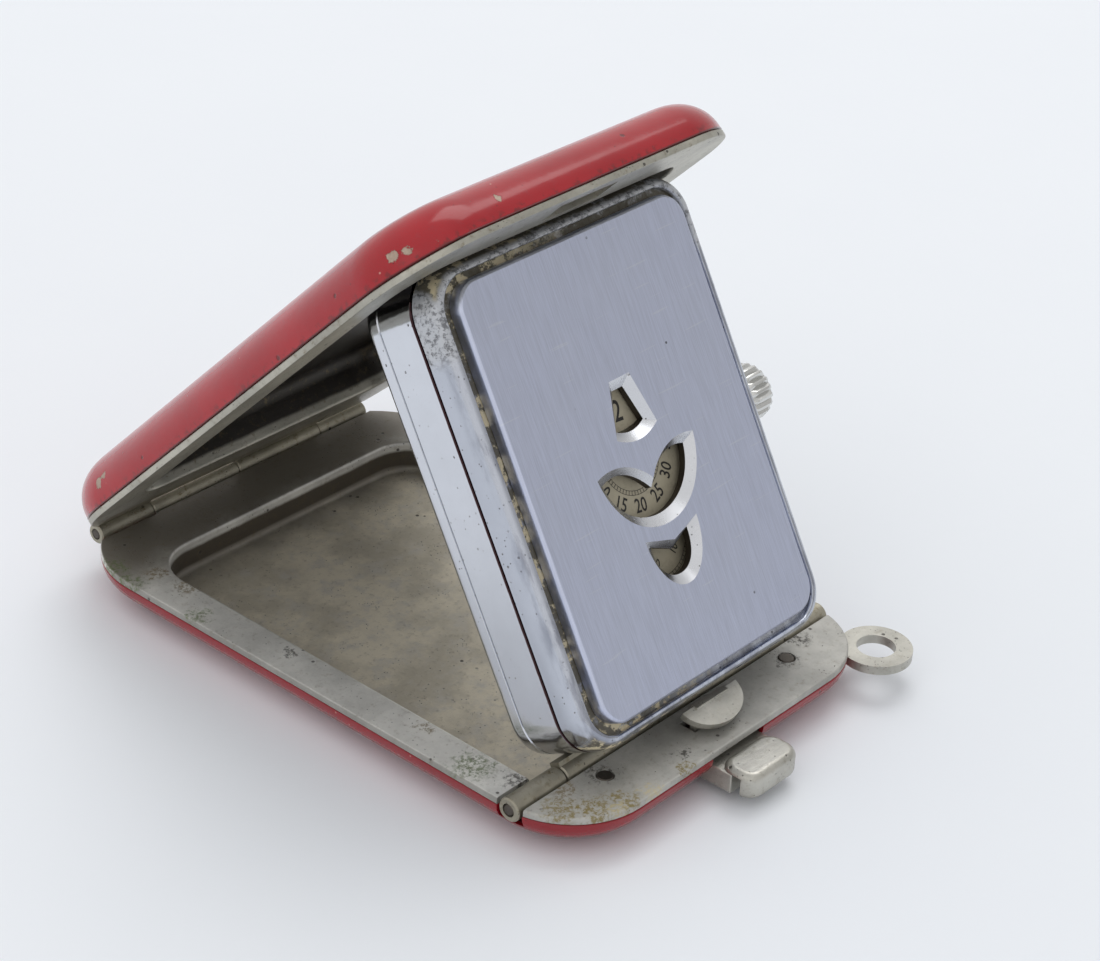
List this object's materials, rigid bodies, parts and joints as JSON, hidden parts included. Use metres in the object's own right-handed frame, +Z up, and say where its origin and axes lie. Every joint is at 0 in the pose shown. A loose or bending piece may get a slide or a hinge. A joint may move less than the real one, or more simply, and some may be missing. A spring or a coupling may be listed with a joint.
{
  "type": "folding purse watch",
  "caption": "Enamelled clam case, open, with a small rectangular watch standing inside it on a front hinge; time shows as numbers on discs behind windows.",
  "frame": {"origin": "centre of the flat underside of the closed outline of the base, on the surface it stands on", "axes": "+X along both hinges towards the crown, -Y towards the push button at the front, +Z up"},
  "size_m": [0.0363, 0.0555, 0.041],
  "materials": {
    "enamel": "glossy fired enamel over metal, chipped at the corners",
    "nickel": "worn satin nickel silver, tarnished in the recesses",
    "chrome": "polished chrome plate with fine pitting",
    "face_steel": "brushed along its long side, polished window bevels",
    "steel": "plain turned steel",
    "brass": "satin",
    "disc_metal": "matte silvered, aged to cream",
    "blued_steel": "blued"
  },
  "bodies": {
    "base": {"base_shell": "enamel", "base_frame": "nickel", "front_plate": "nickel", "bail_loop": "nickel", "plate_screw_left": "steel", "plate_screw_right": "steel", "plate_bearer_left": "nickel", "plate_bearer_right": "nickel", "front_knuckle_left": "nickel", "front_knuckle_right": "nickel", "front_hinge_pin": "steel", "spring_stop": "nickel", "button_guide": "nickel", "button_spring": "steel", "rear_hinge_base_leaf": "nickel", "rear_hinge_pin": "steel"},
    "catch": {"button_catch": "nickel"},
    "cover": {"cover_shell": "enamel", "cover_frame": "nickel", "cover_panel": "enamel", "catch_plate": "nickel", "rear_hinge_cover_leaf": "nickel"},
    "watch": {"watch_hinge_leaf": "nickel", "case_back": "chrome", "case_band": "chrome", "bezel": "chrome", "faceplate": "face_steel", "crown_tube": "chrome", "main_plate": "brass", "train_bridge": "brass", "balance_cock": "brass", "bridge_screw_1": "steel", "bridge_screw_2": "steel", "bridge_screw_3": "steel", "hairspring": "blued_steel"},
    "lever": {"setting_lever": "steel"},
    "crown": {"crown": "chrome", "winding_stem": "steel"},
    "hour": {"hour_disc": "disc_metal"},
    "minute": {"minute_disc": "disc_metal"},
    "seconds": {"seconds_disc": "disc_metal"},
    "third": {"third_wheel": "brass"},
    "escape": {"escape_wheel": "steel"},
    "barrel": {"mainspring_barrel": "brass"},
    "pallet": {"pallet_fork": "steel"},
    "balance": {"balance_wheel": "brass"}
  },
  "joints": [
    {"name": "cover_open", "type": "hinge", "parent": "base", "child": "cover", "pos_m": [0, 0.0259, 0.0032], "axis": [-1, 0, 0], "range_deg": [0, 85]},
    {"name": "watch_fold", "type": "hinge", "parent": "base", "child": "watch", "pos_m": [0, -0.019, 0.0029], "axis": [-1, 0, 0], "range_deg": [0, 60.3]},
    {"name": "button_press", "type": "slide", "parent": "base", "child": "catch", "axis": [0, 1, 0], "range_m": [0, 0.0007], "stiffness_N_per_m": 150, "deforming": ["button_spring"]},
    {"name": "crown_pull", "type": "slide", "parent": "watch", "child": "lever", "axis": [1, 0, 0], "range_m": [0, 0.0007]},
    {"name": "crown_turn", "type": "hinge", "parent": "lever", "child": "crown", "pos_m": [0.014, -0.01183, 0.0193], "axis": [1, 0, 0], "continuous": true},
    {"name": "seconds_turn", "type": "hinge", "parent": "watch", "child": "seconds", "pos_m": [0, -0.01276, 0.01384], "axis": [0, -0.8686, 0.4955], "continuous": true},
    {"name": "minute_turn", "type": "hinge", "parent": "watch", "child": "minute", "pos_m": [0, -0.00988, 0.01888], "axis": [0, -0.8686, 0.4955], "continuous": true},
    {"name": "hour_turn", "type": "hinge", "parent": "watch", "child": "hour", "pos_m": [0, -0.00597, 0.02575], "axis": [0, -0.8686, 0.4955], "continuous": true},
    {"name": "third_turn", "type": "hinge", "parent": "watch", "child": "third", "pos_m": [0.00223, -0.01145, 0.01613], "axis": [0, -0.8686, 0.4955], "continuous": true},
    {"name": "escape_turn", "type": "hinge", "parent": "watch", "child": "escape", "pos_m": [0.0023, -0.01397, 0.01172], "axis": [0, -0.8686, 0.4955], "continuous": true},
    {"name": "barrel_turn", "type": "hinge", "parent": "watch", "child": "barrel", "pos_m": [-0.0042, -0.00794, 0.0223], "axis": [0, -0.8686, 0.4955], "continuous": true},
    {"name": "pallet_rock", "type": "hinge", "parent": "watch", "child": "pallet", "pos_m": [0.0045, -0.0159, 0.01117], "axis": [0, -0.8686, 0.4955], "range_deg": [-8, 8]},
    {"name": "balance_swing", "type": "hinge", "parent": "watch", "child": "balance", "pos_m": [0.0076, -0.01597, 0.00912], "axis": [0, -0.8686, 0.4955], "range_deg": [-135, 135], "stiffness_Nm_per_rad": 0.00000007, "deforming": ["hairspring"]}
  ],
  "couplings": [
    {"joint": "minute_turn", "follows": "seconds_turn", "ratio": 0.016667},
    {"joint": "hour_turn", "follows": "seconds_turn", "ratio": 0.0013889},
    {"joint": "third_turn", "follows": "seconds_turn", "ratio": -0.13333},
    {"joint": "escape_turn", "follows": "seconds_turn", "ratio": -10},
    {"joint": "barrel_turn", "follows": "seconds_turn", "ratio": -0.002381}
  ]
}
